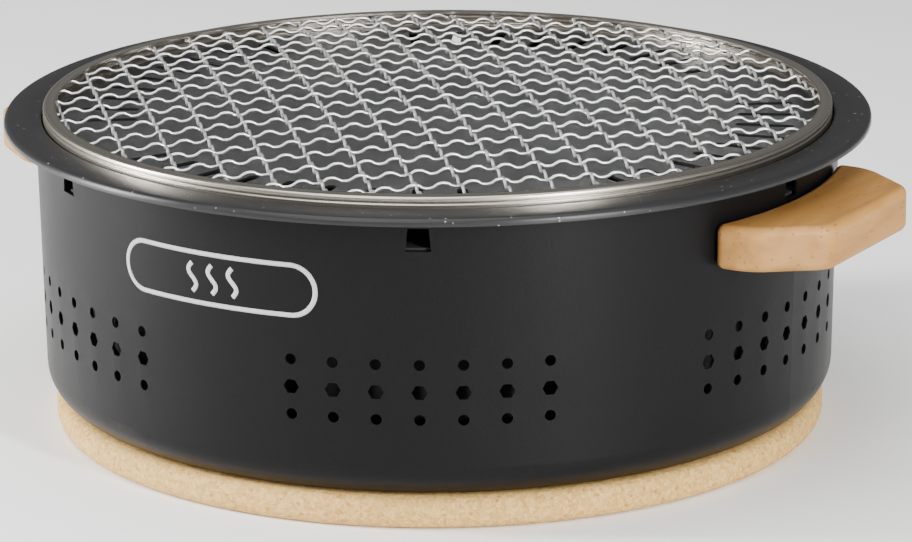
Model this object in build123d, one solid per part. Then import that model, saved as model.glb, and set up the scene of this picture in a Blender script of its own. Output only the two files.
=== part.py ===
from build123d import *
from math import sqrt
import os

os.makedirs("parts", exist_ok=True)

# Frame: +Z up from the underside of the cork mat, +X through the right handle, the badge side faces -Y.
# An azimuth is counted in degrees from -Y towards +X.

# Cork mat under the stove, set in from the body's floor
mat_inset = 2.9
mat_thickness = 12
mat_edge_radius = 4.5

# Deep-drawn outer body
body_floor_radius = 149.3
body_draft = 1.85
body_height = 105.5
body_sheet = 0.8
body_corner_radius = 12.5

# Vent holes and tab windows, both repeated round the body in the same six places
pattern_count = 6
pattern_turn = -1.7
vent_columns = 7
vent_column_step = 5.88
vent_row_step = 10.1
vent_middle_height = 40.2
round_vent_diameter = 4
hex_vent_width = 5
window_height = 8.3
window_sill_height = 91.6
window_top_width = 7.3
window_sill_width = 9

# Beech handles and what holds them on
handle_reach = 29.9
handle_heel_half_width = 50
handle_heel_depth = 6.1
handle_face_half_width = 32
handle_thickness = 16.5
handle_drop = 14.3
handle_heel_radius = 3
handle_shoulder_radius = 22
handle_corner_radius = 10
handle_edge_radius = 3
handle_gap = 0.15
insert_recess = 0.3
screw_azimuth = 9
screw_radius = 2.5
screw_length = 15
screw_head_radius = 4.8
screw_head_height = 3
screw_hole_clearance = 0.25
washer_radius = 5
washer_thickness = 1
insert_radius = 3.6
insert_length = 13
insert_bore_clearance = 0.1
insert_clearance = 0.02

# Ash tray on the body floor, small enough to lift out between the tabs
tray_tab_clearance = 7.8
tray_height = 12
tray_sheet = 0.8
tray_corner_radius = 4
tray_lip = 3

# Charcoal bowl hung by its rim on the six tabs
bowl_rim_clearance = 1.4
bowl_tab_clearance = 2.8
bowl_draft = 8
bowl_depth = 70
bowl_sheet = 0.8
bowl_corner_radius = 10
bowl_rim_bend = 3
bowl_wall_hole_count = 30
bowl_wall_hole_radius = 3
bowl_wall_hole_height = 26
bowl_floor_hole_radius = 3
# Each ring of floor holes: its radius as a share of the floor's, and how many holes
bowl_floor_hole_rings = [(0.153, 6), (0.344, 12), (0.534, 18), (0.725, 24)]

# Charcoal grate on three riveted strip legs
grate_clearance = 8.2
grate_thickness = 2
grate_leg_height = 14
grate_leg_width = 12
grate_leg_foot = 14
grate_leg_sheet = 2
grate_leg_inset = 22
grate_leg_count = 3
rivet_radius = 2
rivet_head_radius = 4
rivet_head_height = 1.2
rivet_clearance = 0.05
grate_slot_width = 6
# Each ring of slots: inner and outer end as shares of the grate's radius, and how many slots
grate_slot_rings = [(0.213, 0.393, 8), (0.459, 0.672, 16), (0.738, 0.934, 24)]

# Griddle plate with the brim that covers the body's rim
griddle_sheet = 1
brim_overhang = 11.85
brim_lip = 2.8
brim_lip_bend = 1.9
well_depth = 2.5
well_clearance = 0.5
well_bend = 1
crown_height = 1.3
crown_width = 53
crown_slot_gap = 5
crown_bend = 150
griddle_turn = 4
slot_group_count = 4
slots_in_group = 9
slot_step = 7.8
slot_width = 4
slot_length = 22
slot_inset = 13.8

# Grilling net
net_clearance = 0.5
net_ring_height = 6.4
net_ring_depth = 4.8
net_ring_sheet = 1
net_ring_bend = 1.6
wire_diameter = 1.2
wire_end_clearance = 0.1
wire_layer_gap = 0.05
wire_flange_gap = 0.3
net_crown = 5.5
warp_pitch = 15.7
weft_pitch = 15.7
warp_angle = 131.5
weft_angle = 43.5

# Radii that follow from the body's
body_rim_radius = body_floor_radius + body_draft
mat_radius = body_floor_radius - mat_inset
brim_radius = body_rim_radius + brim_overhang

# Heights that follow from the stack
body_floor = mat_thickness
body_rim = body_floor + body_height
inner_floor = body_floor + body_sheet
window_sill = body_floor + window_sill_height
handle_top = body_rim - handle_drop
handle_middle = handle_top - handle_thickness / 2
bowl_rim = window_sill
bowl_floor = bowl_rim - bowl_depth
grate_floor = bowl_floor + bowl_sheet + grate_leg_height
brim_top = body_rim + griddle_sheet
well_floor = brim_top - well_depth
net_top = well_floor + net_ring_height


def body_radius(height):
    """Outer radius of the drafted wall at a height above the table."""
    share = (height - body_floor) / body_height
    return body_floor_radius + share * (body_rim_radius - body_floor_radius)


tab_tip_radius = body_radius(window_sill) - body_sheet - window_height
tray_radius = tab_tip_radius - tray_tab_clearance
bowl_mouth_radius = tab_tip_radius - bowl_tab_clearance
bowl_floor_radius = bowl_mouth_radius - bowl_draft
grate_radius = bowl_floor_radius - bowl_sheet - grate_clearance
grate_leg_radius = grate_radius - grate_leg_inset
well_radius = body_radius(well_floor) - body_sheet - well_clearance - griddle_sheet
slot_outer_radius = well_radius - slot_inset
slot_inner_radius = slot_outer_radius - slot_length
net_radius = well_radius - net_clearance


def turned(azimuth):
    return Rot(0, 0, azimuth)


def spaced_round(count, start=0):
    return [start + 360 * index / count for index in range(count)]


def pressed_sheet(points, bends, thickness):
    """Revolve a bent sheet whose upper or outer face follows the (radius, height) points."""
    outline = FilletPolyline(*points, radius=bends)
    section = make_face(offset(outline, amount=thickness, side=Side.RIGHT, closed=True).edges())
    return revolve(Plane.XZ * section, Axis.Z)


def cork_mat():
    disc = Pos(0, 0, mat_thickness / 2) * Cylinder(mat_radius, mat_thickness)
    return fillet(disc.edges(), mat_edge_radius)


def cup(low_radius, high_radius, low, high, corner):
    """A solid drafted cup with a rounded lower edge."""
    cone = Cone(low_radius, high_radius, high - low, align=(Align.CENTER, Align.CENTER, Align.MIN))
    lower_edge = cone.edges().group_by(Axis.Z)[0]
    return Pos(0, 0, low) * fillet(lower_edge, corner)


def wall_cutter(profile):
    """A prism through the -Y side of the wall, from a profile drawn on the XZ plane."""
    near_wall = Plane.XZ.offset(body_floor_radius - 15)
    return extrude(near_wall * profile, 30)


def vent_group():
    middle = body_floor + vent_middle_height
    cutters = []
    for column in range(vent_columns):
        azimuth = (column - (vent_columns - 1) / 2) * vent_column_step
        hexagon = Pos(0, middle) * RegularPolygon(hex_vent_width / 2, 6, major_radius=False)
        cutters.append(turned(azimuth) * wall_cutter(hexagon))
        for side in (-1, 1):
            circle = Pos(0, middle + side * vent_row_step) * Circle(round_vent_diameter / 2)
            cutters.append(turned(azimuth) * wall_cutter(circle))
    return cutters


def tab_window():
    corners = [
        (-window_sill_width / 2, window_sill),
        (window_sill_width / 2, window_sill),
        (window_top_width / 2, window_sill + window_height),
        (-window_top_width / 2, window_sill + window_height),
    ]
    return wall_cutter(make_face(Polyline(*corners, close=True)))


def rim_tab():
    """The tongue cut from the window and bent in over its sill, level with the sill."""
    root = body_radius(window_sill) - body_sheet / 2
    corners = [
        (-window_sill_width / 2, -root),
        (window_sill_width / 2, -root),
        (window_top_width / 2, -tab_tip_radius),
        (-window_top_width / 2, -tab_tip_radius),
    ]
    tongue = make_face(Polyline(*corners, close=True))
    return Pos(0, 0, window_sill - body_sheet) * extrude(tongue, body_sheet)


def along_radius(radius, length, start):
    """A rod along -Y at the handle's middle height, from a start radius outwards."""
    return Pos(0, -start, handle_middle) * Rot(90, 0, 0) * Cylinder(
        radius, length, align=(Align.CENTER, Align.CENTER, Align.MIN)
    )


def outer_body():
    shell = cup(body_floor_radius, body_rim_radius, body_floor, body_rim, body_corner_radius)
    shell -= cup(
        body_floor_radius - body_sheet,
        body_rim_radius - body_sheet,
        inner_floor,
        body_rim,
        body_corner_radius - body_sheet,
    )
    cutters = []
    for azimuth in spaced_round(pattern_count, 30 + pattern_turn):
        cutters += [turned(azimuth) * cutter for cutter in vent_group()]
        cutters.append(turned(azimuth) * tab_window())
    for azimuth in screw_azimuths(90) + screw_azimuths(-90):
        hole = along_radius(screw_radius + screw_hole_clearance, 30, body_floor_radius - 15)
        cutters.append(turned(azimuth) * hole)
    shell -= cutters
    shell += [turned(azimuth) * rim_tab() for azimuth in spaced_round(pattern_count, 30 + pattern_turn)]
    return shell


def screw_azimuths(side):
    return [side - screw_azimuth, side + screw_azimuth]


def wall_seat():
    """Radius where a flat washer meets the inside of the wall."""
    inside = body_radius(handle_middle - washer_radius) - body_sheet
    return sqrt(inside**2 - washer_radius**2)


def handle_plan():
    """Half hexagon with a concave back, drawn on the -Y side."""
    back = body_radius(handle_top) + handle_gap
    heel = back + handle_heel_depth
    face = back + handle_reach
    corners = [
        (-handle_heel_half_width, -body_floor_radius / 2),
        (-handle_heel_half_width, -heel),
        (-handle_face_half_width, -face),
        (handle_face_half_width, -face),
        (handle_heel_half_width, -heel),
        (handle_heel_half_width, -body_floor_radius / 2),
    ]
    plan = make_face(Polyline(*corners, close=True))
    outer = plan.vertices().group_by(Axis.Y)
    plan = fillet(outer[0], handle_corner_radius)
    shoulders = [corner for corner in plan.vertices() if abs(corner.Y + heel) < 0.01]
    plan = fillet(shoulders, handle_shoulder_radius)
    plan -= Circle(back)
    heels = plan.vertices().group_by(Axis.Y)[-1]
    return fillet(heels, handle_heel_radius)


def handle(side):
    block = Pos(0, 0, handle_top - handle_thickness) * extrude(handle_plan(), handle_thickness)
    flats = block.edges().group_by(Axis.Z)
    block = fillet(flats[0] + flats[-1], handle_edge_radius)
    block = turned(side) * block
    mouth = body_floor_radius - insert_recess
    depth = insert_start() + insert_length - mouth
    socket = along_radius(insert_radius + insert_clearance, depth, mouth)
    return block - [turned(azimuth) * socket for azimuth in screw_azimuths(side)]


def insert_start():
    return body_radius(handle_top) + handle_gap + insert_recess


def handle_inserts(side):
    sleeve = along_radius(insert_radius, insert_length, insert_start())
    sleeve -= along_radius(screw_radius + insert_bore_clearance, insert_length, insert_start())
    return [turned(azimuth) * sleeve for azimuth in screw_azimuths(side)]


def handle_washers(side):
    start = wall_seat() - washer_thickness
    ring = along_radius(washer_radius, washer_thickness, start)
    ring -= along_radius(screw_radius + screw_hole_clearance, washer_thickness, start)
    return [turned(azimuth) * ring for azimuth in screw_azimuths(side)]


def handle_screws(side):
    under_head = wall_seat() - washer_thickness
    head = along_radius(screw_head_radius, screw_head_height, under_head - screw_head_height)
    top = head.faces().sort_by(Axis.Y)[-1]
    head = fillet(top.edges(), screw_head_height / 2)
    recess = along_radius(screw_radius * 0.7, screw_head_height / 2, under_head - screw_head_height)
    screw = head - recess + along_radius(screw_radius, screw_length, under_head)
    return [turned(azimuth) * screw for azimuth in screw_azimuths(side)]


def ash_tray():
    top = inner_floor + tray_height
    inner = tray_radius - tray_lip - tray_sheet
    points = [(0, inner_floor + tray_sheet), (inner, inner_floor + tray_sheet), (inner, top), (tray_radius, top)]
    return pressed_sheet(points, [tray_corner_radius, tray_lip / 3], tray_sheet)


def charcoal_bowl():
    rim_radius = body_radius(window_sill) - body_sheet - bowl_rim_clearance
    rim_top = bowl_rim + bowl_sheet
    points = [
        (0, bowl_floor + bowl_sheet),
        (bowl_floor_radius - bowl_sheet, bowl_floor + bowl_sheet),
        (bowl_mouth_radius - bowl_sheet, rim_top),
        (rim_radius, rim_top),
    ]
    bowl = pressed_sheet(points, [bowl_corner_radius, bowl_rim_bend], bowl_sheet)
    wall_hole = Pos(0, 0, bowl_floor + bowl_wall_hole_height) * Rot(90, 0, 0) * Cylinder(
        bowl_wall_hole_radius, bowl_mouth_radius, align=(Align.CENTER, Align.CENTER, Align.MIN)
    )
    floor_hole = Pos(0, 0, bowl_floor) * Cylinder(bowl_floor_hole_radius, 4 * bowl_sheet)
    cutters = [turned(azimuth) * wall_hole for azimuth in spaced_round(bowl_wall_hole_count)]
    for share, count in bowl_floor_hole_rings:
        hole = Pos(0, -share * bowl_floor_radius, 0) * floor_hole
        cutters += [turned(azimuth) * hole for azimuth in spaced_round(count)]
    return bowl - cutters


def radial_slot(inner, outer, width, low, high):
    outline = Pos((inner + outer) / 2, 0) * SlotOverall(outer - inner, width)
    return Pos(0, 0, low) * extrude(turned(-90) * outline, high - low)


def charcoal_grate():
    plate = Pos(0, 0, grate_floor + grate_thickness / 2) * Cylinder(grate_radius, grate_thickness)
    cutters = []
    for inner, outer, count in grate_slot_rings:
        slot = radial_slot(
            inner * grate_radius,
            outer * grate_radius,
            grate_slot_width,
            grate_floor - 1,
            grate_floor + grate_thickness + 1,
        )
        cutters += [turned(azimuth) * slot for azimuth in spaced_round(count)]
    cutters += [turned(azimuth) * rivet_hole() for azimuth in leg_azimuths()]
    return plate - cutters


def leg_azimuths():
    """Each leg stands midway between two slots of the outermost ring."""
    return spaced_round(grate_leg_count, 180 / grate_slot_rings[-1][-1])


def rivet_hole():
    hole = Cylinder(rivet_radius + rivet_clearance, 4 * (grate_thickness + grate_leg_sheet))
    return Pos(0, -grate_leg_radius, grate_floor) * hole


def charcoal_grate_legs():
    """Strip-steel angles: a tab under the grate, an upright and a foot on the bowl floor."""
    outer = grate_leg_radius + grate_leg_foot / 2
    inner = grate_leg_radius - grate_leg_foot / 2
    low = bowl_floor + bowl_sheet
    outline = Polyline((outer, low), (inner, low), (inner, grate_floor), (outer, grate_floor))
    section = make_face(offset(outline, amount=grate_leg_sheet, side=Side.RIGHT, closed=True).edges())
    leg = turned(-90) * extrude(Plane.XZ * section, grate_leg_width / 2, both=True)
    drill = Pos(0, -grate_leg_radius, grate_floor) * Cylinder(
        rivet_radius + rivet_clearance, 3 * grate_leg_sheet
    )
    return [turned(azimuth) * (leg - drill) for azimuth in leg_azimuths()]


def charcoal_grate_rivets():
    low = grate_floor - grate_leg_sheet
    high = grate_floor + grate_thickness
    base = (Align.CENTER, Align.CENTER, Align.MIN)
    head = Pos(0, 0, high) * Cylinder(rivet_head_radius, rivet_head_height, align=base)
    head = fillet(head.edges().group_by(Axis.Z)[-1], rivet_head_height / 2)
    tail = Pos(0, 0, low - rivet_head_height) * Cylinder(rivet_head_radius, rivet_head_height, align=base)
    shank = Pos(0, 0, low) * Cylinder(rivet_radius, high - low, align=base)
    rivet = Pos(0, -grate_leg_radius, 0) * (head + tail + shank)
    return [turned(azimuth) * rivet for azimuth in leg_azimuths()]


def griddle_plate():
    crown_foot = slot_inner_radius - crown_slot_gap
    points = [
        (0, well_floor + crown_height),
        (crown_foot - crown_width, well_floor + crown_height),
        (crown_foot, well_floor),
        (well_radius, well_floor),
        (well_radius, brim_top),
        (brim_radius, brim_top),
        (brim_radius, brim_top - brim_lip),
    ]
    bends = [crown_bend, crown_bend, well_bend, well_bend + griddle_sheet / 4, brim_lip_bend]
    plate = pressed_sheet(points, bends, griddle_sheet)
    slot = radial_slot(slot_inner_radius, slot_outer_radius, slot_width, well_floor - 4, well_floor + 4)
    cutters = []
    for group in spaced_round(slot_group_count, griddle_turn):
        for index in range(slots_in_group):
            azimuth = group + (index - (slots_in_group - 1) / 2) * slot_step
            cutters.append(turned(azimuth) * slot)
    return plate - cutters


def net_ring():
    """Band folded to a channel that opens towards the wires."""
    inner = net_radius - net_ring_depth
    points = [(inner, net_top), (net_radius, net_top), (net_radius, well_floor), (inner, well_floor)]
    return pressed_sheet(points, [net_ring_bend, net_ring_bend], net_ring_sheet)


def wire_layer(pitch, angle, height):
    """Wires at one pitch, each an arc over the net's crown, trimmed where the channel's bends begin."""
    reach = net_radius - net_ring_bend - wire_end_clearance
    rows = int((reach - net_ring_depth) / pitch)
    wires = []
    for row in range(-rows, rows + 1):
        aside = row * pitch
        half_span = sqrt(reach**2 - aside**2)
        rise = net_crown * (half_span / reach) ** 2
        arc = ThreePointArc(
            (-half_span, aside, height), (0, aside, height + rise), (half_span, aside, height)
        )
        section = Plane(origin=arc @ 0, z_dir=arc % 0) * Circle(wire_diameter / 2)
        wires.append(turned(angle) * sweep(section, path=arc))
    return wires


def net_warp_wires():
    height = net_top - net_ring_sheet - wire_flange_gap - wire_diameter / 2
    return wire_layer(warp_pitch, warp_angle, height)


def net_weft_wires():
    height = net_top - net_ring_sheet - wire_flange_gap - wire_layer_gap - 1.5 * wire_diameter
    return wire_layer(weft_pitch, weft_angle, height)


def save(name, shape):
    solids = ShapeList(shape).solids() if isinstance(shape, list) else shape.solids()
    part = solids[0] if len(solids) == 1 else Compound(children=list(solids))
    part.label = name
    export_step(part, f"parts/{name}.step")
    print(name, len(solids), "solids")


save("cork_mat", cork_mat())
save("outer_body", outer_body())
for name, side in (("right", 90), ("left", -90)):
    save(f"handle_{name}", handle(side))
    save(f"handle_inserts_{name}", handle_inserts(side))
    save(f"handle_washers_{name}", handle_washers(side))
    save(f"handle_screws_{name}", handle_screws(side))
save("ash_tray", ash_tray())
save("charcoal_bowl", charcoal_bowl())
save("charcoal_grate", charcoal_grate())
save("charcoal_grate_legs", charcoal_grate_legs())
save("charcoal_grate_rivets", charcoal_grate_rivets())
save("griddle_plate", griddle_plate())
save("net_ring", net_ring())
save("net_warp_wires", net_warp_wires())
save("net_weft_wires", net_weft_wires())
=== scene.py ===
import bpy
from math import cos, pi, radians, sin, sqrt, tan, tanh
from mathutils import Matrix, Vector


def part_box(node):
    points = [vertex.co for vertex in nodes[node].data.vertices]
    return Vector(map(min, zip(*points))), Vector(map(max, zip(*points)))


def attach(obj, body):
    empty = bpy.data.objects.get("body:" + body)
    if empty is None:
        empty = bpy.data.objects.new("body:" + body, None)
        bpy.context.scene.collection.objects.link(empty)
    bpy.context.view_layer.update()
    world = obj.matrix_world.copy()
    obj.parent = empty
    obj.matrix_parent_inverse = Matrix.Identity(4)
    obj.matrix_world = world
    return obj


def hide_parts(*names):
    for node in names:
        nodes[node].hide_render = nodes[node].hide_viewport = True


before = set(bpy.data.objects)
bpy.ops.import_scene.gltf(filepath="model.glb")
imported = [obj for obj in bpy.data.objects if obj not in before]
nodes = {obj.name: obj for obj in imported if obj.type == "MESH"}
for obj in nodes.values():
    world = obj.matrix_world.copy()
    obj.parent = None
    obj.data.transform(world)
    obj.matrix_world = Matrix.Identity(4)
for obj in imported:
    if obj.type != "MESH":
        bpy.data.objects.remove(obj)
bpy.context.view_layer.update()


def toLinear(hexColour):
    # sRGB hex to the linear colour that sockets take
    channels = [int(hexColour[i:i + 2], 16) / 255 for i in (1, 3, 5)]
    return [c / 12.92 if c <= 0.04045 else ((c + 0.055) / 1.055) ** 2.4 for c in channels] + [1.0]


def addNode(tree, kind, settings=None, links=None):
    # settings: attributes and input values; links: input name or index to a source socket
    node = tree.nodes.new(kind)
    for key, value in (settings or {}).items():
        if isinstance(key, str) and hasattr(node, key):
            setattr(node, key, value)
        else:
            node.inputs[key].default_value = value
    for key, source in (links or {}).items():
        tree.links.new(source, node.inputs[key])
    return node


def deselectAll():
    if bpy.context.object and bpy.context.object.mode != "OBJECT":
        bpy.ops.object.mode_set(mode="OBJECT")
    bpy.ops.object.select_all(action="DESELECT")


def select(obj):
    deselectAll()
    obj.select_set(True)
    bpy.context.view_layer.objects.active = obj


def addCurve(name, nib=0.0, nibSteps=0):
    # an empty curve, drawn with a round nib where it has one
    curve = bpy.data.curves.new(name, "CURVE")
    curve.dimensions = "3D"
    curve.bevel_depth = nib
    curve.bevel_resolution = nibSteps
    curve.use_fill_caps = True
    return curve


def addRun(curve, points, closed=False):
    # one run of straight steps through the points
    spline = curve.splines.new("POLY")
    spline.points.add(len(points) - 1)
    spline.use_cyclic_u = closed
    for point, place in zip(spline.points, points):
        point.co = (*place, 1)


def curveToMesh(name, curve):
    piece = bpy.data.objects.new(name, curve)
    bpy.context.collection.objects.link(piece)
    select(piece)
    bpy.ops.object.convert(target="MESH")
    return bpy.context.object


def paint(obj, material):
    obj.data.materials.clear()
    obj.data.materials.append(material)


def newMaterial(name):
    material = bpy.data.materials.new(name)
    material.use_nodes = True
    tree = material.node_tree
    return material, tree, tree.nodes["Principled BSDF"]


def onRadius(radius, azimuth, height):
    # azimuth in degrees from -Y towards +X
    turn = radians(azimuth)
    return Vector((radius * sin(turn), -radius * cos(turn), height))


camera = {
    "azimuth": 31.0,         # degrees from -Y towards +X
    "distance": 1.619,       # from the stove's axis, in metres
    "height": 0.5174,
    "pitch": 15.99,          # degrees below the horizon
    "heading": 30.77,
    "roll": -0.37,
    "lens": 174.44,          # millimetres, on a sensor as wide as the next value
    "sensor": 36,
    "farthest": 20,
}


def addCamera():
    bpy.ops.object.camera_add(location=onRadius(camera["distance"], camera["azimuth"], camera["height"]))
    eye = bpy.context.object
    turn = Matrix.Rotation(radians(camera["heading"]), 3, "Z")
    tilt = Matrix.Rotation(pi / 2 - radians(camera["pitch"]), 3, "X")
    roll = Matrix.Rotation(radians(camera["roll"]), 3, "Z")
    eye.rotation_euler = (turn @ tilt @ roll).to_euler()
    eye.data.lens = camera["lens"]
    eye.data.sensor_width = camera["sensor"]
    eye.data.clip_end = camera["farthest"]
    bpy.context.scene.camera = eye


# azimuth counted from the camera towards the right, as seen from the stove; size and distance in metres
lights = [
    {"name": "leftStrip", "azimuth": -90, "elevation": 10, "distance": 1.6, "size": (0.26, 1.3), "watts": 92},
    {"name": "rightStrip", "azimuth": 34, "elevation": 12, "distance": 1.9, "size": (0.14, 1.5), "watts": 82},
    {"name": "topSheet", "azimuth": -30, "elevation": 80, "distance": 1.6, "size": (1.5, 1.5), "watts": 25},
    {"name": "frontSheet", "azimuth": -22, "elevation": 40, "distance": 2.3, "size": (1.1, 0.8), "watts": 18},
]

studio = {
    "aimHeight": 0.06,
    "air": "#f4f4f4",
    "airStrength": 0.2,
    "paper": "#f7f7f6",
    "paperSize": 12,
}


def addLights():
    for light in lights:
        around = radians(light["azimuth"] + camera["azimuth"])
        up = radians(light["elevation"])
        away = Vector((sin(around) * cos(up), -cos(around) * cos(up), sin(up)))
        bpy.ops.object.light_add(type="AREA", location=away * light["distance"] + Vector((0, 0, studio["aimHeight"])))
        lamp = bpy.context.object
        lamp.name = light["name"]
        lamp.rotation_euler = away.to_track_quat("Z", "Y").to_euler()
        lamp.data.shape = "RECTANGLE"
        lamp.data.size, lamp.data.size_y = light["size"]
        lamp.data.energy = light["watts"]
    world = bpy.data.worlds.new("paleStudio")
    world.use_nodes = True
    air = world.node_tree.nodes["Background"]
    air.inputs["Color"].default_value = toLinear(studio["air"])
    air.inputs["Strength"].default_value = studio["airStrength"]
    bpy.context.scene.world = world


def addFloor():
    # matte white paper, lying flat
    bpy.ops.mesh.primitive_plane_add(size=studio["paperSize"], location=(0, 0, 0))
    floor = bpy.context.object
    floor.name = "floor"
    material, tree, surface = newMaterial("matte white paper")
    surface.inputs["Base Color"].default_value = toLinear(studio["paper"])
    surface.inputs["Roughness"].default_value = 0.9
    paint(floor, material)


addCamera()
addLights()
addFloor()
print("camera, lights and floor are in")


def objectPoint(tree, scale=(1, 1, 1)):
    place = addNode(tree, "ShaderNodeTexCoord")
    mapping = addNode(tree, "ShaderNodeMapping", {"Scale": scale}, {"Vector": place.outputs["Object"]})
    return mapping.outputs["Vector"]


def perMillimetre(millimetres):
    # a texture's scale for one feature in that many millimetres
    return 1000 / millimetres


def powderCoat():
    # fine textured black powder coat: tiny rounded grains that glitter in the softbox
    material, tree, surface = newMaterial("black textured powder coat")
    point = objectPoint(tree)
    grain = addNode(tree, "ShaderNodeTexNoise", {"Scale": perMillimetre(0.9), "Detail": 3.0, "Roughness": 0.6},
                    {"Vector": point})
    patch = addNode(tree, "ShaderNodeTexNoise", {"Scale": perMillimetre(60), "Detail": 2.0}, {"Vector": point})
    tone = addNode(tree, "ShaderNodeMapRange", {"From Min": 0.3, "From Max": 0.75, "To Min": 0.0, "To Max": 1.0},
                   {"Value": grain.outputs["Fac"]})
    colour = addNode(tree, "ShaderNodeMix", {"data_type": "RGBA"}, {0: tone.outputs["Result"]})
    colour.inputs[6].default_value = toLinear("#080809")
    colour.inputs[7].default_value = toLinear("#0f0f10")
    shine = addNode(tree, "ShaderNodeMapRange", {"From Min": 0.3, "From Max": 0.7, "To Min": 0.34, "To Max": 0.41},
                    {"Value": patch.outputs["Fac"]})
    bump = addNode(tree, "ShaderNodeBump", {"Strength": 0.35, "Distance": 0.00012}, {"Height": grain.outputs["Fac"]})
    tree.links.new(colour.outputs[2], surface.inputs["Base Color"])
    tree.links.new(shine.outputs["Result"], surface.inputs["Roughness"])
    tree.links.new(bump.outputs["Normal"], surface.inputs["Normal"])
    surface.inputs["IOR"].default_value = 1.22
    return material


def nonStickCoat():
    # smooth satin non-stick coat, dark grey, with pale mineral specks a third of a millimetre wide
    material, tree, surface = newMaterial("satin speckled non-stick coat")
    point = objectPoint(tree)
    cells = addNode(tree, "ShaderNodeTexVoronoi", {"Scale": perMillimetre(2.6)}, {"Vector": point})
    speck = addNode(tree, "ShaderNodeMapRange", {"From Min": 0.0, "From Max": 0.16, "To Min": 1.0, "To Max": 0.0},
                    {"Value": cells.outputs["Distance"]})
    chance = addNode(tree, "ShaderNodeSeparateColor", {}, {"Color": cells.outputs["Color"]})
    chosen = addNode(tree, "ShaderNodeMath", {"operation": "GREATER_THAN", 1: 0.72}, {0: chance.outputs["Red"]})
    amount = addNode(tree, "ShaderNodeMath", {"operation": "MULTIPLY"},
                     {0: speck.outputs["Result"], 1: chosen.outputs["Value"]})
    cloud = addNode(tree, "ShaderNodeTexNoise", {"Scale": perMillimetre(35), "Detail": 3.0}, {"Vector": point})
    base = addNode(tree, "ShaderNodeMix", {"data_type": "RGBA"}, {0: cloud.outputs["Fac"]})
    base.inputs[6].default_value = toLinear("#1c1c1d")
    base.inputs[7].default_value = toLinear("#252526")
    colour = addNode(tree, "ShaderNodeMix", {"data_type": "RGBA"}, {0: amount.outputs["Value"], 6: base.outputs[2]})
    colour.inputs[7].default_value = toLinear("#a8a8a4")
    shine = addNode(tree, "ShaderNodeMapRange", {"From Min": 0.35, "From Max": 0.65, "To Min": 0.3, "To Max": 0.38},
                    {"Value": cloud.outputs["Fac"]})
    tree.links.new(colour.outputs[2], surface.inputs["Base Color"])
    tree.links.new(shine.outputs["Result"], surface.inputs["Roughness"])
    surface.inputs["IOR"].default_value = 1.36
    return material


def brushedBand():
    # stainless band, brushed along its length, warm grey
    material, tree, surface = newMaterial("satin stainless band")
    place = addNode(tree, "ShaderNodeTexCoord")
    split = addNode(tree, "ShaderNodeSeparateXYZ", {}, {"Vector": place.outputs["Object"]})
    height = addNode(tree, "ShaderNodeMath", {"operation": "MULTIPLY", 1: perMillimetre(0.5)},
                     {0: split.outputs["Z"]})
    radius = addNode(tree, "ShaderNodeVectorMath", {"operation": "LENGTH"}, {0: place.outputs["Object"]})
    across = addNode(tree, "ShaderNodeMath", {"operation": "MULTIPLY", 1: perMillimetre(0.5)},
                     {0: radius.outputs["Value"]})
    line = addNode(tree, "ShaderNodeCombineXYZ", {}, {"X": across.outputs["Value"], "Z": height.outputs["Value"]})
    streak = addNode(tree, "ShaderNodeTexNoise", {"Scale": 1.0, "Detail": 2.0}, {"Vector": line.outputs["Vector"]})
    shine = addNode(tree, "ShaderNodeMapRange", {"From Min": 0.3, "From Max": 0.7, "To Min": 0.24, "To Max": 0.36},
                    {"Value": streak.outputs["Fac"]})
    tree.links.new(shine.outputs["Result"], surface.inputs["Roughness"])
    surface.inputs["Base Color"].default_value = toLinear("#b5aea4")
    surface.inputs["Metallic"].default_value = 1.0
    return material


def drawnWire():
    # bright drawn stainless wire, slightly dulled by the crimping rolls
    material, tree, surface = newMaterial("drawn stainless wire")
    point = objectPoint(tree)
    mark = addNode(tree, "ShaderNodeTexNoise", {"Scale": perMillimetre(1.5), "Detail": 2.0}, {"Vector": point})
    shine = addNode(tree, "ShaderNodeMapRange", {"From Min": 0.3, "From Max": 0.7, "To Min": 0.28, "To Max": 0.42},
                    {"Value": mark.outputs["Fac"]})
    tree.links.new(shine.outputs["Result"], surface.inputs["Roughness"])
    surface.inputs["Base Color"].default_value = toLinear("#dcdcda")
    surface.inputs["Metallic"].default_value = 0.9
    return material


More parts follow.
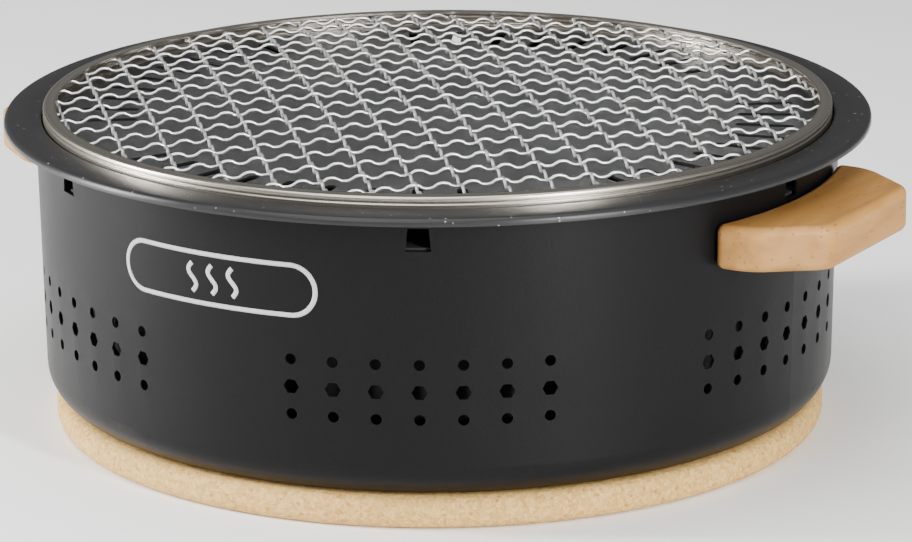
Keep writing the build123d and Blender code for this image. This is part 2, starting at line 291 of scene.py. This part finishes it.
def beech():
    # oiled beech: straight grain along the grip, short dark rays a couple of millimetres long
    material, tree, surface = newMaterial("oiled beech")
    grainPoint = objectPoint(tree, scale=(1, 0.16, 1))
    rings = addNode(tree, "ShaderNodeTexNoise", {"Scale": perMillimetre(7), "Detail": 4.0, "Distortion": 0.4},
                    {"Vector": grainPoint})
    colour = addNode(tree, "ShaderNodeValToRGB", {}, {"Fac": rings.outputs["Fac"]})
    colour.color_ramp.elements[0].position = 0.3
    colour.color_ramp.elements[0].color = toLinear("#93672f")
    colour.color_ramp.elements[1].position = 0.72
    colour.color_ramp.elements[1].color = toLinear("#a97b41")
    rayPoint = objectPoint(tree, scale=(1, 0.3, 1))
    rays = addNode(tree, "ShaderNodeTexVoronoi", {"Scale": perMillimetre(2.0)}, {"Vector": rayPoint})
    ray = addNode(tree, "ShaderNodeMapRange", {"From Min": 0.12, "From Max": 0.28, "To Min": 1.0, "To Max": 0.0},
                  {"Value": rays.outputs["Distance"]})
    pick = addNode(tree, "ShaderNodeSeparateColor", {}, {"Color": rays.outputs["Color"]})
    some = addNode(tree, "ShaderNodeMath", {"operation": "GREATER_THAN", 1: 0.55}, {0: pick.outputs["Red"]})
    fleck = addNode(tree, "ShaderNodeMath", {"operation": "MULTIPLY"},
                    {0: ray.outputs["Result"], 1: some.outputs["Value"]})
    soften = addNode(tree, "ShaderNodeMath", {"operation": "MULTIPLY", 1: 0.6}, {0: fleck.outputs["Value"]})
    final = addNode(tree, "ShaderNodeMix", {"data_type": "RGBA"},
                    {0: soften.outputs["Value"], 6: colour.outputs["Color"]})
    final.inputs[7].default_value = toLinear("#6b431d")
    bump = addNode(tree, "ShaderNodeBump", {"Strength": 0.25, "Distance": 0.0001}, {"Height": rings.outputs["Fac"]})
    tree.links.new(final.outputs[2], surface.inputs["Base Color"])
    tree.links.new(bump.outputs["Normal"], surface.inputs["Normal"])
    surface.inputs["Roughness"].default_value = 0.5
    surface.inputs["IOR"].default_value = 1.45
    return material


def granulatedCork():
    # pressed cork: granules one to three millimetres wide, a few dark bark specks, tiny pits
    material, tree, surface = newMaterial("pressed granulated cork")
    point = objectPoint(tree)
    granule = addNode(tree, "ShaderNodeTexVoronoi", {"Scale": perMillimetre(1.3)}, {"Vector": point})
    pick = addNode(tree, "ShaderNodeSeparateColor", {}, {"Color": granule.outputs["Color"]})
    colour = addNode(tree, "ShaderNodeValToRGB", {}, {"Fac": pick.outputs["Red"]})
    ramp = colour.color_ramp
    ramp.elements[0].position = 0.0
    ramp.elements[0].color = toLinear("#a87f44")
    ramp.elements[1].position = 0.08
    ramp.elements[1].color = toLinear("#bd9450")
    for place, tint in ((0.55, "#c7a05c"), (0.9, "#d0ab6a")):
        element = ramp.elements.new(place)
        element.color = toLinear(tint)
    fine = addNode(tree, "ShaderNodeTexNoise", {"Scale": perMillimetre(0.8), "Detail": 3.0}, {"Vector": point})
    shade = addNode(tree, "ShaderNodeMapRange", {"From Min": 0.35, "From Max": 0.6, "To Min": 0.82, "To Max": 1.04},
                    {"Value": fine.outputs["Fac"]})
    final = addNode(tree, "ShaderNodeVectorMath", {"operation": "SCALE"},
                    {0: colour.outputs["Color"], "Scale": shade.outputs["Result"]})
    relief = addNode(tree, "ShaderNodeMath", {"operation": "ADD"},
                     {0: granule.outputs["Distance"], 1: fine.outputs["Fac"]})
    bump = addNode(tree, "ShaderNodeBump", {"Strength": 0.6, "Distance": 0.0003},
                   {"Height": relief.outputs["Value"]})
    tree.links.new(final.outputs["Vector"], surface.inputs["Base Color"])
    tree.links.new(bump.outputs["Normal"], surface.inputs["Normal"])
    surface.inputs["Roughness"].default_value = 0.85
    return material


def plainSteel(name, hexColour, roughness):
    # rolled sheet steel with faint mill marks a few millimetres long
    material, tree, surface = newMaterial(name)
    point = objectPoint(tree, scale=(1, 0.2, 1))
    mill = addNode(tree, "ShaderNodeTexNoise", {"Scale": perMillimetre(3), "Detail": 3.0}, {"Vector": point})
    shine = addNode(tree, "ShaderNodeMapRange",
                    {"From Min": 0.3, "From Max": 0.7, "To Min": roughness - 0.08, "To Max": roughness + 0.08},
                    {"Value": mill.outputs["Fac"]})
    tree.links.new(shine.outputs["Result"], surface.inputs["Roughness"])
    surface.inputs["Base Color"].default_value = toLinear(hexColour)
    surface.inputs["Metallic"].default_value = 1.0
    return material


def matteBlack():
    # heat-proof paint, dead matte, slightly mottled
    material, tree, surface = newMaterial("heat-proof matte black")
    mottle = addNode(tree, "ShaderNodeTexNoise", {"Scale": perMillimetre(4), "Detail": 3.0},
                     {"Vector": objectPoint(tree)})
    colour = addNode(tree, "ShaderNodeMix", {"data_type": "RGBA"}, {0: mottle.outputs["Fac"]})
    colour.inputs[6].default_value = toLinear("#121213")
    colour.inputs[7].default_value = toLinear("#1e1e1f")
    tree.links.new(colour.outputs[2], surface.inputs["Base Color"])
    surface.inputs["Roughness"].default_value = 0.75
    return material


def screenInk():
    # pale grey screen-printed ink, lying on the grain of the coat
    material, tree, surface = newMaterial("pale grey screen ink")
    wear = addNode(tree, "ShaderNodeTexNoise", {"Scale": perMillimetre(0.8), "Detail": 2.0},
                   {"Vector": objectPoint(tree)})
    colour = addNode(tree, "ShaderNodeMix", {"data_type": "RGBA"}, {0: wear.outputs["Fac"]})
    colour.inputs[6].default_value = toLinear("#9c9c9c")
    colour.inputs[7].default_value = toLinear("#bcbcbc")
    tree.links.new(colour.outputs[2], surface.inputs["Base Color"])
    surface.inputs["Roughness"].default_value = 0.6
    return material


wood = beech()
zinc = plainSteel("zinc-plated steel", "#b4b4b6", 0.35)
darkSteel = plainSteel("dull rolled steel", "#5a5a5c", 0.5)
traySteel = plainSteel("pressed tray steel", "#8d8d8f", 0.42)
brass = plainSteel("turned brass", "#c9a45a", 0.3)
finishes = {
    "outer_body": powderCoat(),
    "griddle_plate": nonStickCoat(),
    "cork_mat": granulatedCork(),
    "handle_right": wood,
    "handle_left": wood,
    "handle_inserts_right": brass,
    "handle_inserts_left": brass,
    "handle_washers_right": zinc,
    "handle_washers_left": zinc,
    "handle_screws_right": zinc,
    "handle_screws_left": zinc,
    "charcoal_bowl": matteBlack(),
    "charcoal_grate": darkSteel,
    "charcoal_grate_legs": darkSteel,
    "charcoal_grate_rivets": zinc,
    "ash_tray": traySteel,
    "net_ring": brushedBand(),
}
for name, material in finishes.items():
    paint(nodes[name], material)
print("finishes are on the CAD pieces")


def rounded(points, bends, segments=6):
    # a bent-sheet outline in the radius and height plane, with an arc at each bend
    outline = [points[0]]
    for index, bend in enumerate(bends, 1):
        corner = Vector(points[index])
        back = (Vector(points[index - 1]) - corner).normalized()
        ahead = (Vector(points[index + 1]) - corner).normalized()
        half = back.angle(ahead) / 2
        centre = corner + (back + ahead).normalized() * bend / sin(half)
        first = (corner + back * bend / tan(half) - centre).normalized()
        last = (corner + ahead * bend / tan(half) - centre).normalized()
        for step in range(segments + 1):
            outline.append(tuple(centre + first.slerp(last, step / segments) * bend))
    return outline + [points[-1]]


roundSteps = 240             # facets round a spun sheet


def spunSheet(name, outline, sheet):
    # spins the outline round the stove's axis and gives it the sheet's thickness below and inside
    line = addCurve(name)
    addRun(line, [(radius, 0, height) for radius, height in outline])
    piece = curveToMesh(name, line)
    bpy.ops.object.mode_set(mode="EDIT")
    bpy.ops.mesh.select_all(action="SELECT")
    bpy.ops.mesh.spin(steps=roundSteps, angle=2 * pi, center=(0, 0, 0), axis=(0, 0, 1))
    bpy.ops.mesh.select_all(action="SELECT")
    bpy.ops.mesh.remove_doubles(threshold=0.00001)
    bpy.ops.mesh.normals_make_consistent(inside=False)
    bpy.ops.object.mode_set(mode="OBJECT")
    highest = max(piece.data.polygons, key=lambda face: face.center.z)
    if highest.normal.z < 0:
        bpy.ops.object.mode_set(mode="EDIT")
        bpy.ops.mesh.flip_normals()
        bpy.ops.object.mode_set(mode="OBJECT")
    wall = piece.modifiers.new("wall", "SOLIDIFY")
    wall.thickness = sheet
    wall.offset = -1
    wall.use_even_offset = True
    bpy.ops.object.modifier_apply(modifier="wall")
    return piece


# the pressed plate's section, its radii and heights in metres, and its slots
griddle = {
    "sheet": 0.001,
    "brimRadius": 0.163,
    "brimTop": 0.1185,
    "lip": 0.0028,
    "wellRadius": 0.14882,
    "wellFloor": 0.116,
    "crown": 0.0013,
    "crownRadius": 0.0550,
    "crownFoot": 0.1080,
    "crownBend": 0.15,
    "wellBend": 0.001,
    "brimBend": 0.00125,
    "lipBend": 0.0019,
    "slotInner": 0.11302,
    "slotOuter": 0.13502,
    "slotWidth": 0.004,
    "slotGroups": 4,
    "slotsInGroup": 9,
    "slotStep": 7.8,
    "turn": 4.0,
    "cutDepth": 0.008,
    "smoothBelow": 35,       # degrees between faces
}


def slotCutter():
    # one slot modelled as a stretched rod, then copied round the plate
    half = griddle["slotWidth"] / 2
    bpy.ops.mesh.primitive_cylinder_add(vertices=16, radius=half, depth=griddle["cutDepth"], location=(0, 0, 0))
    first = bpy.context.object
    for vert in first.data.vertices:
        outwards = vert.co.y < 0
        vert.co.y += half - griddle["slotOuter"] if outwards else -half - griddle["slotInner"]
        vert.co.z += griddle["wellFloor"]
    cutters = []
    for group in range(griddle["slotGroups"]):
        for index in range(griddle["slotsInGroup"]):
            azimuth = 360 / griddle["slotGroups"] * group + griddle["turn"]
            azimuth += (index - (griddle["slotsInGroup"] - 1) / 2) * griddle["slotStep"]
            copy = first.copy()
            copy.data = first.data.copy()
            copy.data.transform(Matrix.Rotation(radians(azimuth), 4, "Z"))
            bpy.context.collection.objects.link(copy)
            cutters.append(copy)
    bpy.data.objects.remove(first)
    deselectAll()
    for cutter in cutters:
        cutter.select_set(True)
    bpy.context.view_layer.objects.active = cutters[0]
    bpy.ops.object.join()
    return bpy.context.object


def addGriddle():
    g = griddle
    outline = rounded(
        [(0, g["wellFloor"] + g["crown"]), (g["crownRadius"], g["wellFloor"] + g["crown"]),
         (g["crownFoot"], g["wellFloor"]), (g["wellRadius"], g["wellFloor"]), (g["wellRadius"], g["brimTop"]),
         (g["brimRadius"], g["brimTop"]), (g["brimRadius"], g["brimTop"] - g["lip"])],
        [g["crownBend"], g["crownBend"], g["wellBend"], g["brimBend"], g["lipBend"]])
    plate = spunSheet("pressedGriddle", outline, g["sheet"])
    cutters = slotCutter()
    select(plate)
    slots = plate.modifiers.new("slots", "BOOLEAN")
    slots.operation = "DIFFERENCE"
    slots.object = cutters
    bpy.ops.object.modifier_apply(modifier="slots")
    bpy.data.objects.remove(cutters)
    bpy.ops.object.shade_smooth_by_angle(angle=radians(griddle["smoothBelow"]))
    paint(plate, finishes["griddle_plate"])
    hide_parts("griddle_plate")
    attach(plate, "griddle")


ring = {
    "sheet": 0.0008,
    "bend": 0.0014,
    "depth": 0.0048,
    "seamDrop": 0.0024,      # rolled seam under the ring's top
    "seamDepth": 0.0005,
    "seamBend": 0.0002,
    "topBend": 0.00112,
    "smoothBelow": 50,
}


def addRing():
    low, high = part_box("net_ring")
    outer = high.x
    inner = outer - ring["depth"]
    seam = high.z - ring["seamDrop"]
    outline = rounded(
        [(inner, high.z), (outer, high.z), (outer, seam + ring["seamDepth"]), (outer - ring["seamDepth"], seam),
         (outer, seam - ring["seamDepth"]), (outer, low.z), (inner, low.z)],
        [ring["topBend"], ring["seamBend"], ring["seamBend"], ring["seamBend"], ring["bend"]], 5)
    band = spunSheet("foldedRing", outline, ring["sheet"])
    bpy.ops.object.shade_smooth_by_angle(angle=radians(ring["smoothBelow"]))
    paint(band, finishes["net_ring"])
    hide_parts("net_ring")
    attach(band, "net")


addGriddle()
addRing()
print("griddle and ring are spun")


net = {
    "wire": 0.0012,
    "wave": 0.0008,          # crimp height each side of the middle
    "pitch": 0.0157,
    "crown": 0.0055,
    "warpTurn": 131.5,       # degrees from +X to each set's run
    "weftTurn": 43.5,
    "stepsInWave": 8,
    "nibSteps": 2,
    "endInset": 0.0017,      # from the ring's outside to a wire's end
    "topDrop": 0.0009,       # from the ring's top to the highest wire at the ring
    "sharpness": 1.6,        # how flat the crimps' tops are
    "shortest": 0.005,       # rows nearer than this to the ring are left out
}


def crimp(travel, pitch):
    # flat-topped wave with one and a half periods between neighbouring crossings
    return tanh(net["sharpness"] * cos(3 * pi * travel / pitch)) / tanh(net["sharpness"])


def wovenWires(name, turn, overFirst, node, material):
    # one set of wires; the other set's waves are opposite, so each crossing has one over and one under
    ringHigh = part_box("net_ring")[1]
    reach = ringHigh.x - net["endInset"]
    middle = ringHigh.z - net["topDrop"] - net["wave"] - net["wire"] / 2
    pitch = net["pitch"]
    rows = int(reach / pitch) + 1
    direction = Matrix.Rotation(radians(turn), 3, "Z") @ Vector((1, 0, 0))
    side = Matrix.Rotation(radians(turn), 3, "Z") @ Vector((0, 1, 0))
    curve = addCurve(name, net["wire"] / 2, net["nibSteps"])
    stepLength = pitch * 2 / 3 / net["stepsInWave"]
    for row in range(-rows, rows + 1):
        aside = row * pitch
        if abs(aside) > reach - net["shortest"]:
            continue
        halfSpan = sqrt(reach ** 2 - aside ** 2)
        steps = int(2 * halfSpan / stepLength)
        overOrUnder = -1 if (row + overFirst) % 2 else 1
        run = []
        for index in range(steps + 1):
            travel = -halfSpan + 2 * halfSpan * index / steps
            level = overOrUnder * net["wave"] * crimp(travel, pitch)
            crown = net["crown"] * (1 - (travel ** 2 + aside ** 2) / reach ** 2)
            place = direction * travel + side * aside
            run.append((place.x, place.y, middle + crown + level))
        addRun(curve, run)
    wires = curveToMesh(name, curve)
    bpy.ops.object.shade_smooth()
    paint(wires, material)
    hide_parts(node)
    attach(wires, "net")


wireFinish = drawnWire()
wovenWires("wovenWarps", net["warpTurn"], 0, "net_warp_wires", wireFinish)
wovenWires("wovenWefts", net["weftTurn"], 1, "net_weft_wires", wireFinish)
print("net is woven")


# three heat waves in a rounded outline
mark = {
    "azimuth": -1.0,         # degrees from -Y towards +X
    "height": 0.0875,
    "length": 0.0827,
    "breadth": 0.0201,
    "line": 0.0018,
    "proud": 0.0003,
    "waves": 3,
    "spread": 0.0085,
    "sway": 0.0016,
    "rise": 0.0105,
    "wallDraft": 0.00185,    # how much wider the body is at its rim than at its floor
    "steps": 24,
}


def bodyRadius(height):
    low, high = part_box("outer_body")
    share = (height - low.z) / (high.z - low.z)
    return high.x - mark["wallDraft"] * (1 - share)


def inkStroke(points, closed):
    # one stroke as a round-nibbed curve lying in the drawing plane
    stroke = addCurve("inkStroke", mark["line"] / 2, 1)
    addRun(stroke, [(across, up, 0) for across, up in points], closed)
    return curveToMesh("inkStroke", stroke)


def stadium():
    # rounded outline, with points every few millimetres so that it follows the round wall
    radius = mark["breadth"] / 2 - mark["line"] / 2
    straight = mark["length"] / 2 - mark["breadth"] / 2
    steps = mark["steps"]
    points = []
    for side in (1, -1):
        for step in range(steps + 1):
            turn = side * pi * (step / steps - 0.5)
            points.append((side * (straight + radius * cos(turn)), radius * sin(turn)))
        for step in range(1, steps):
            points.append((side * straight * (1 - 2 * step / steps), side * radius))
    return points


def heatStroke(middle):
    shares = [step / mark["steps"] for step in range(mark["steps"] + 1)]
    return [(middle + mark["sway"] * sin(2 * pi * share), mark["rise"] * (share - 0.5)) for share in shares]


def addMark():
    strokes = [inkStroke(stadium(), True)]
    for wave in range(mark["waves"]):
        middle = (wave - (mark["waves"] - 1) / 2) * mark["spread"]
        strokes.append(inkStroke(heatStroke(middle), False))
    deselectAll()
    for stroke in strokes:
        stroke.select_set(True)
    bpy.context.view_layer.objects.active = strokes[0]
    bpy.ops.object.join()
    printed = bpy.context.object
    printed.name = "printedMark"
    for vert in printed.data.vertices:
        across, up, depth = vert.co
        height = mark["height"] + up
        radius = bodyRadius(height) + mark["proud"] * depth / mark["line"]
        vert.co = onRadius(radius, mark["azimuth"] + across / radius * 180 / pi, height)
    select(printed)
    bpy.ops.object.mode_set(mode="EDIT")
    bpy.ops.mesh.select_all(action="SELECT")
    bpy.ops.mesh.normals_make_consistent(inside=False)
    bpy.ops.object.mode_set(mode="OBJECT")
    paint(printed, screenInk())
    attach(printed, "stove")


addMark()
print("mark is printed")
